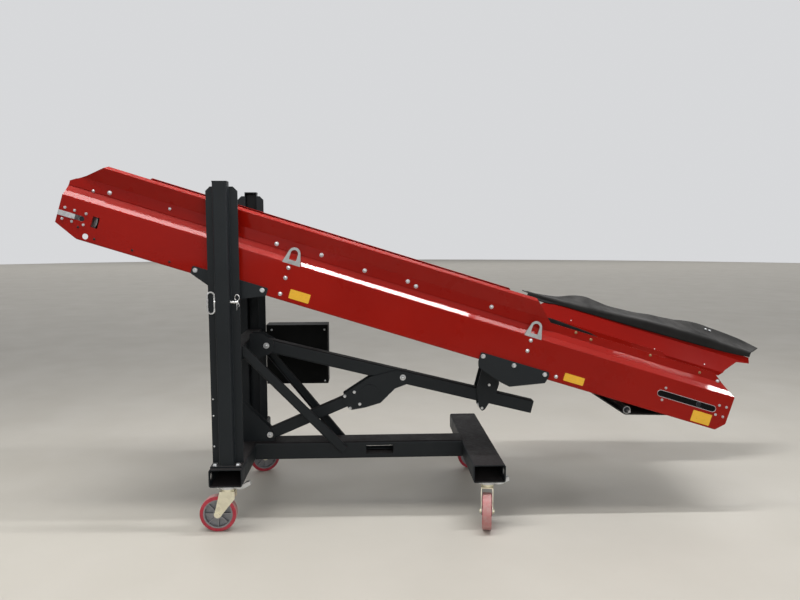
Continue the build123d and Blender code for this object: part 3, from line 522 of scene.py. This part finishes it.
# Turns the face of a slab to the near side
FACE_NEAR = Matrix.Rotation(math.pi / 2, 4, "X")

bm = bmesh.new()
for x, w, long, tall in BLANK_PLATES:
    spot = Matrix.Translation((x * MM, -FILM_Y * MM, w * MM))
    slab(bm, DECK @ spot @ FACE_NEAR, long, tall, FILM_THICK, FILM_CORNER)
shown("blank_plates", bm, "conveyor", FILM)

# Bolts and rivets of the base, in machine millimetres

ELBOW_BOLTS = [(634, 649), (693, 674), (726, 598), (667, 573)]
# Heads of the three linkage pins: x, outer face, z and size
PIN_HEADS = [
    (161.0, PIN_HEAD_Y, 969.0, 0.8), (992.9, PIN_HEAD_Y, 763.1, 1.0), (172.0, ELBOW_Y, 411.0, 0.65)]
FOOT_BOLT_X = (-60, 62)
FOOT_BOLT_Y = 499
FOOT_TOP = 378.5
MAST_RIVET_X = -74
MAST_RIVET_Z = (739, 646, 473)
CASTER_X = (0, 1449)
SWIVEL_Y = 473.0
CASTER_BOLT_DX = (-48, 48)
CASTER_BOLT_DY = (-38, 38)
CASTER_PLATE_LOW = 262.5

bm = bmesh.new()
for side in (-1, 1):
    for x, z in ELBOW_BOLTS:
        hex_bolt(bm, on_base(side, x, ELBOW_Y, z), across=14.0, high=6.0)
for x, y, z, size in PIN_HEADS:
    for side in (-1, 1):
        dome(bm, on_base(side, x, y, z), size)
for side in (-1, 1):
    for x in FOOT_BOLT_X:
        hex_bolt(bm, facing(machine(x, side * FOOT_BOLT_Y, FOOT_TOP), (0, 0, 1)), across=24.0, high=9.0)
    for z in MAST_RIVET_Z:
        rivet(bm, on_base(side, MAST_RIVET_X, MAST_SIDE_Y, z), r=5.0)
for x in CASTER_X:
    for side in (-1, 1):
        for dx in CASTER_BOLT_DX:
            for dy in CASTER_BOLT_DY:
                spot = machine(x + dx, side * SWIVEL_Y + dy, CASTER_PLATE_LOW)
                hex_bolt(bm, facing(spot, (0, 0, -1)), across=17.0, high=6.5)
shown("base_bolts", bm, "base", ZINC)

# Spring clips through the lock pins: a ring above the pin, a straight leg below it and a short one

LOCK_Y, LOCK_Z = 479.0, 1278.0
CLIP_WIRE_R = 2.0
CLIP_RING_X, CLIP_RING_Z = 74, LOCK_Z + 24
CLIP_RING_WIDE, CLIP_RING_HIGH = 12, 17

clip = [(72, LOCK_Z - 43), (73, LOCK_Z + 4)]
for degrees in range(340, 19, -20):
    a = math.radians(degrees)
    clip.append((CLIP_RING_X + CLIP_RING_WIDE * math.sin(a), CLIP_RING_Z - CLIP_RING_HIGH * math.cos(a)))
clip += [(79, LOCK_Z - 2), (85, LOCK_Z - 16), (84, LOCK_Z - 26)]
bm = bmesh.new()
for side in (-1, 1):
    wire(bm, [machine(x, side * LOCK_Y, z) for x, z in clip], CLIP_WIRE_R, Vector((0, 1, 0)))
shown("spring_clips", bm, "base", BRIGHT_ZINC)

# Cover of the control box with a screw near each corner

BOX_X, BOX_FRONT_Y, BOX_Z = 308.5, 330.0, 847.5
BOX_LONG, BOX_TALL = 407.0, 395.0
COVER_INSET = 3
COVER_THICK = 3.0
COVER_CORNER = 8.0
BOX_SCREW_X = (142, 490)
BOX_SCREW_Z = (668, 1013)
BOX_SCREW_R = 7.0
# The cover's back lies just inside the box's front, and the screws just inside the cover's front
COVER_BACK_Y = BOX_FRONT_Y + 0.05
BOX_SCREW_Y = BOX_FRONT_Y - 2.9

bm = bmesh.new()
spot = Matrix.Translation(machine(BOX_X, COVER_BACK_Y, BOX_Z))
slab(bm, spot @ FACE_NEAR, BOX_LONG - 2 * COVER_INSET, BOX_TALL - 2 * COVER_INSET, COVER_THICK, COVER_CORNER)
shown("box_cover", bm, "base", MATERIALS["box_paint"])
bm = bmesh.new()
for x in BOX_SCREW_X:
    for z in BOX_SCREW_Z:
        rivet(bm, facing(machine(x, BOX_SCREW_Y, z), (0, -1, 0)), BOX_SCREW_R)
shown("box_screws", bm, "base", ZINC)

# Weld beads where the frame's members meet: start and end in machine millimetres, on both sides

BEADS = [
    ((90, 80, 268), (90, 80, 368)), ((1359, 80, 268), (1359, 80, 368)), ((10, 37, 371), (196, 37, 371)),
    ((-82, 458, 379), (-40, 458, 379)), ((40, 458, 379), (82, 458, 379)), ((-38, 513, 379), (38, 513, 379)),
    ((-40, 449, 916), (-40, 449, 1004)), ((60, 449, 916), (60, 449, 1004)),
]

bm = bmesh.new()
for (x0, y0, z0), (x1, y1, z1) in BEADS:
    for side in (-1, 1):
        bead(bm, machine(x0, side * y0, z0), machine(x1, side * y1, z1))
shown("weld_beads", bm, "base", MATERIALS["frame_paint"])

# Rubber edge of the hopper: a wavy sheet folded outward over the wall. Each line gives deck w
# along deck x: the sheet's lower edge, its fold and its outer edge.

LOW_LINE = [
    (2800, 399), (2943, 402), (3016, 412), (3264, 417), (3636, 422), (4087, 433), (4300, 442), (4452, 456)]
FOLD_LINE = [(2800, 437), (3000, 440), (3250, 450), (3700, 484), (4075, 492), (4300, 486), (4452, 488)]
EDGE_LINE = [
    (2800, 440), (2938, 442), (3054, 462), (3151, 499), (3251, 520), (3326, 520), (3477, 508), (3742, 530),
    (4075, 576), (4238, 572), (4523, 546), (4605, 538)]
RUBBER_THICK = 5.0
RUBBER_ENDS = (2800.0, 4452.0)
RUBBER_STEPS = 200
# Deck y of the upright band on the wall and of the outer edge
BAND_Y = 446.7
RUBBER_REACH = 632.0
# Below this height the wall flares, and the band follows it by this share
FLARE_TOP = 415.0
FLARE_SHARE = 0.75
# The fold starts below its corner and ends outside it
FOLD_BELOW = 14
FOLD_OUT = 15
FLAP_WIDE = 186
# The tail end is slanted: it starts here, and the outer tip is this far past the fold's end
SLANT_FROM = 4000.0
TIP_PAST_FOLD = 153.0
FLAP_SAG = 5.0
BAND_STEPS, FOLD_STEPS, FLAP_STEPS = 6, 6, 18


def smooth_line(rows, x):
    """A smooth height along the rows."""
    if x <= rows[0][0]:
        return rows[0][1]
    for k in range(len(rows) - 1):
        (x0, y0), (x1, y1) = rows[k], rows[k + 1]
        if x <= x1:
            before = rows[max(k - 1, 0)]
            after = rows[min(k + 2, len(rows) - 1)]
            slope0 = (y1 - before[1]) / (x1 - before[0])
            slope1 = (after[1] - y0) / (after[0] - x0)
            t, span = (x - x0) / (x1 - x0), x1 - x0
            return ((2 * t ** 3 - 3 * t * t + 1) * y0 + (t ** 3 - 2 * t * t + t) * span * slope0
                    + (3 * t * t - 2 * t ** 3) * y1 + (t ** 3 - t * t) * span * slope1)
    return rows[-1][1]


def sheet_mesh(name, rows, thick, body, material):
    """A thin sheet from rows of points, all of one length, thickened to both sides."""
    bm = bmesh.new()
    grid = [[bm.verts.new(p) for p in row] for row in rows]
    for a, b in zip(grid, grid[1:]):
        for k in range(len(a) - 1):
            bm.faces.new((a[k], a[k + 1], b[k + 1], b[k]))
    obj = shown(name, bm, body, material, crease=80.0)
    solid = obj.modifiers.new("thickness", "SOLIDIFY")
    solid.thickness = thick * MM
    solid.offset = 0.0
    return obj


def rubber_section(x):
    """The sheet's line across the hopper: up the wall, round the fold and out to the edge."""
    t = min(1.0, max(0.0, (x - SLANT_FROM) / (RUBBER_ENDS[1] - SLANT_FROM)))
    slant = TIP_PAST_FOLD * t * t * (3 - 2 * t)
    lowest = smooth_line(LOW_LINE, x)
    fold = smooth_line(FOLD_LINE, x)
    edge = smooth_line(EDGE_LINE, x + slant)
    inner_y = BAND_Y - RUBBER_THICK / 2
    corner = (inner_y, fold + RUBBER_THICK / 2)
    fold_start = (inner_y, corner[1] - FOLD_BELOW)
    fold_end = (corner[0] + FOLD_OUT, corner[1] + FOLD_OUT * (edge - fold) / FLAP_WIDE)
    points = []
    for k in range(BAND_STEPS):
        t = k / BAND_STEPS
        w = lowest + (fold_start[1] - lowest) * t
        follow = FLARE_SHARE * max(0.0, FLARE_TOP - w)
        points.append((inner_y - follow - 1.2 * math.sin(x / 61.0) * t, w))
    for k in range(FOLD_STEPS):
        t = k / (FOLD_STEPS - 1)
        points.append(tuple((1 - t) ** 2 * a + 2 * t * (1 - t) * c + t * t * b
                            for a, b, c in zip(fold_start, fold_end, corner)))
    for k in range(1, FLAP_STEPS + 1):
        t = k / FLAP_STEPS
        y = fold_end[0] + (RUBBER_REACH - 2 - fold_end[0]) * t
        w = fold_end[1] + (edge - fold_end[1]) * t
        sag = -FLAP_SAG * math.sin(math.pi * t)
        wave = t * (3.2 * math.sin(x / 97.0 + 1.3 * t) + 2.1 * math.sin(x / 43.0 + 2.0))
        ripple = 1.5 * noise.noise(Vector((x / 60.0, y / 45.0, 0.3)))
        points.append((y - 2.0 * t * abs(math.sin(x / 140.0)), w + sag + wave + ripple))
    return [deck(x + slant * max(0.0, y - inner_y) / (RUBBER_REACH - inner_y), y, w) for y, w in points]


rubber_rows = [rubber_section(RUBBER_ENDS[0] + (RUBBER_ENDS[1] - RUBBER_ENDS[0]) * i / RUBBER_STEPS)
               for i in range(RUBBER_STEPS + 1)]
rubber_sheet = sheet_mesh("hopper_rubber_sheet", rubber_rows, RUBBER_THICK, "conveyor",
                          MATERIALS["sheet_rubber"])
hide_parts("hopper_rubber")

# Two bolts on the rubber and three small rivets on the wall's inner face: deck x, y and w

RUBBER_BOLTS = [(4150, 570, 555), (4182, 570, 554)]
RUBBER_UP = (0.2, -0.3, 0.93)
WALL_RIVETS = [(3129, 384.9, 338), (3745, 369.1, 319), (4118, 369.1, 319)]
WALL_INWARD = (0, -0.75, 0.66)

bm = bmesh.new()
for x, y, w in RUBBER_BOLTS:
    dome(bm, facing(deck(x, y, w), RUBBER_UP), size=0.8)
for x, y, w in WALL_RIVETS:
    rivet(bm, facing(deck(x, y, w), WALL_INWARD), r=4.0)
shown("hopper_studs", bm, "conveyor", ZINC)

# Zinc wires round the long slots at the tail end, a painted highlight on the slots' edges: deck x of the two
# arcs, w of the middle and radius

SLOT_X, SLOT_W, SLOT_R = (3506.0, 3832.0), 114.0, 18.4
RIM_Y = PLATE_Y + 0.2
RIM_WIRE_R = 1.1

bm = bmesh.new()
for side in (-1, 1):
    loop = []
    for x, start in ((SLOT_X[1], -90), (SLOT_X[0], 90)):
        for degrees in range(start, start + 181, 15):
            a = math.radians(degrees)
            loop.append(deck(x + SLOT_R * math.cos(a), side * RIM_Y, SLOT_W + SLOT_R * math.sin(a)))
    wire(bm, loop, RIM_WIRE_R, Vector((0, 1, 0)), closed=True, sides=6)
shown("slot_edge_highlights", bm, "conveyor", ZINC)

# Skirts: rubber strips along the belt's edges, upright against the boards and then slanted
# inward to a slightly wavy foot. SKIRT_TOP gives deck w of the upper edge along deck x.

SKIRT_TOP = [(230, 303), (2600, 304), (3000, 313), (3261, 299), (3335, 283), (3835, 256)]
SKIRT_Y, SKIRT_FOOT_Y = 347.2, 326.0
SKIRT_LOW, SKIRT_BEND = 208.0, 252.0
SKIRT_THICK = 5.0
SKIRT_STEPS, SKIRT_ROWS = 300, 6


def straight_line(rows, x):
    """The height along the rows, with straight runs between them."""
    for (x0, y0), (x1, y1) in zip(rows, rows[1:]):
        if x <= x1:
            return y0 + (y1 - y0) * (x - x0) / (x1 - x0)
    return rows[-1][1]


for side, label in SIDES:
    rows = []
    for i in range(SKIRT_STEPS + 1):
        x = SKIRT_TOP[0][0] + (SKIRT_TOP[-1][0] - SKIRT_TOP[0][0]) * i / SKIRT_STEPS
        top = straight_line(SKIRT_TOP, x)
        row = []
        for k in range(SKIRT_ROWS + 1):
            s = k / SKIRT_ROWS
            wave = (1 - s) * (1.3 * math.sin(x / 83.0 + side) + 0.8 * math.sin(x / 31.0))
            row.append((SKIRT_FOOT_Y + (SKIRT_Y - SKIRT_FOOT_Y) * s + wave,
                        SKIRT_LOW + (SKIRT_BEND - SKIRT_LOW) * s))
        for k in range(1, SKIRT_ROWS + 1):
            row.append((SKIRT_Y, SKIRT_BEND + (top - SKIRT_BEND) * k / SKIRT_ROWS))
        rows.append([deck(x, side * y, w) for y, w in row])
    strip = sheet_mesh("skirt_" + label, rows, SKIRT_THICK, "conveyor", SKIRT_RUBBER)
    if side < 0:
        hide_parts("skirts")

# Floor: a wide disc just under the wheels

FLOOR_R = 42
FLOOR_Z = -0.0002

bm = bmesh.new()
floor_edge = [math.radians(degrees) for degrees in range(0, 360, 3)]
bm.faces.new([bm.verts.new((FLOOR_R * math.cos(a), FLOOR_R * math.sin(a), FLOOR_Z)) for a in floor_edge])
floor_mesh = bpy.data.meshes.new("floor")
bm.to_mesh(floor_mesh)
bm.free()
floor_mesh.materials.append(floor_material("pale_floor"))
floor = bpy.data.objects.new("floor", floor_mesh)
bpy.context.scene.collection.objects.link(floor)

# Air: a pale background for the camera, reflections and glass, and a little plain light

AIR_COLOR = (0.96, 0.97, 0.99, 1.0)
AIR_LIGHT = 0.10
AIR_SEEN = 0.61

world = bpy.data.worlds.new("world")
bpy.context.scene.world = world
world.use_nodes = True
tree = world.node_tree
background = tree.nodes["Background"]
path = tree.nodes.new("ShaderNodeLightPath")


def air(kind, a, b):
    """A math node of the world, whose inputs are outputs or numbers."""
    made = tree.nodes.new("ShaderNodeMath")
    made.operation = kind
    for socket, value in zip(made.inputs, (a, b)):
        if isinstance(value, bpy.types.NodeSocket):
            tree.links.new(value, socket)
        else:
            socket.default_value = value
    return made.outputs[0]


mirrored = air("MAXIMUM", path.outputs["Is Glossy Ray"], path.outputs["Is Transmission Ray"])
seen = air("MAXIMUM", path.outputs["Is Camera Ray"], mirrored)
strength = air("ADD", air("MULTIPLY", seen, AIR_SEEN), AIR_LIGHT)
background.inputs["Color"].default_value = AIR_COLOR
tree.links.new(strength, background.inputs["Strength"])

# Lamps, in metres and watts

WHITE = (1.0, 0.99, 0.97)
WARM = (1.0, 0.985, 0.95)
PLAIN = (1.0, 1.0, 1.0)


def lamp(name, at, look, size, power, color, turn=0.0, spread=180.0):
    """A rectangular lamp that shines towards a point. The camera doesn't see it."""
    data = bpy.data.lights.new(name, "AREA")
    data.shape = "RECTANGLE"
    data.size, data.size_y = size
    data.energy = power
    data.color = color
    data.spread = math.radians(spread)
    obj = bpy.data.objects.new(name, data)
    bpy.context.scene.collection.objects.link(obj)
    obj.visible_camera = False
    aim = (Vector(look) - Vector(at)).to_track_quat("-Z", "Y").to_matrix().to_4x4()
    obj.matrix_world = Matrix.Translation(at) @ Matrix.Rotation(math.radians(turn), 4, "Z") @ aim


lamp("hall", (0, 0, 8.0), (0, 0, 0), (60.0, 60.0), 1500.0, WHITE)
lamp("row", (-2.7, -1.1, 5.0), (-2.7, -1.0, 0), (4.6, 0.45), 72.0, WARM, spread=115.0)
lamp("far_floor", (0, 25, 8.0), (0, 25, 0), (60.0, 26.0), 4000.0, WHITE)
lamp("behind_right", (3.2, 2.4, 5.2), (3.0, 1.6, 0), (5.0, 2.0), 60.0, WARM)
lamp("behind", (0, 1.6, 5.2), (0, 1.6, 0), (7.5, 3.2), 12.0, WARM)
lamp("above_camera", (1.5, -4.4, 5.0), (0.8, 0, 0.9), (6.5, 1.6), 9.0, WHITE)
lamp("front", (0.9, -7.0, 3.1), (0.3, 0, 0.9), (8.0, 2.0), 165.0, WHITE)

# Narrow lamps that shine straight down and are mirrored in the folds of the near side plate: x from
# the masts' axis, y, z, length, width, power and turn in degrees
STRIPS = [
    (-0.50, -0.57, 4.6, 1.4, 0.10, 12.0, 0), (2.10, -0.625, 4.6, 2.0, 0.10, 90.0, 0),
    (3.60, -0.65, 4.6, 0.8, 0.10, 5.0, 0), (5.32, -0.587, 3.0, 0.40, 0.09, 16.0, 0),
    (6.17, -2.803, 4.6, 1.44, 0.015, 3.0, -10.2),
]
for number, (x, y, z, length, width, power, turn) in enumerate(STRIPS, 1):
    at = (MAST_X + x, y, z)
    below = (MAST_X + x, y, 0)
    lamp("strip_%d" % number, at, below, (length, width), power, PLAIN, turn)
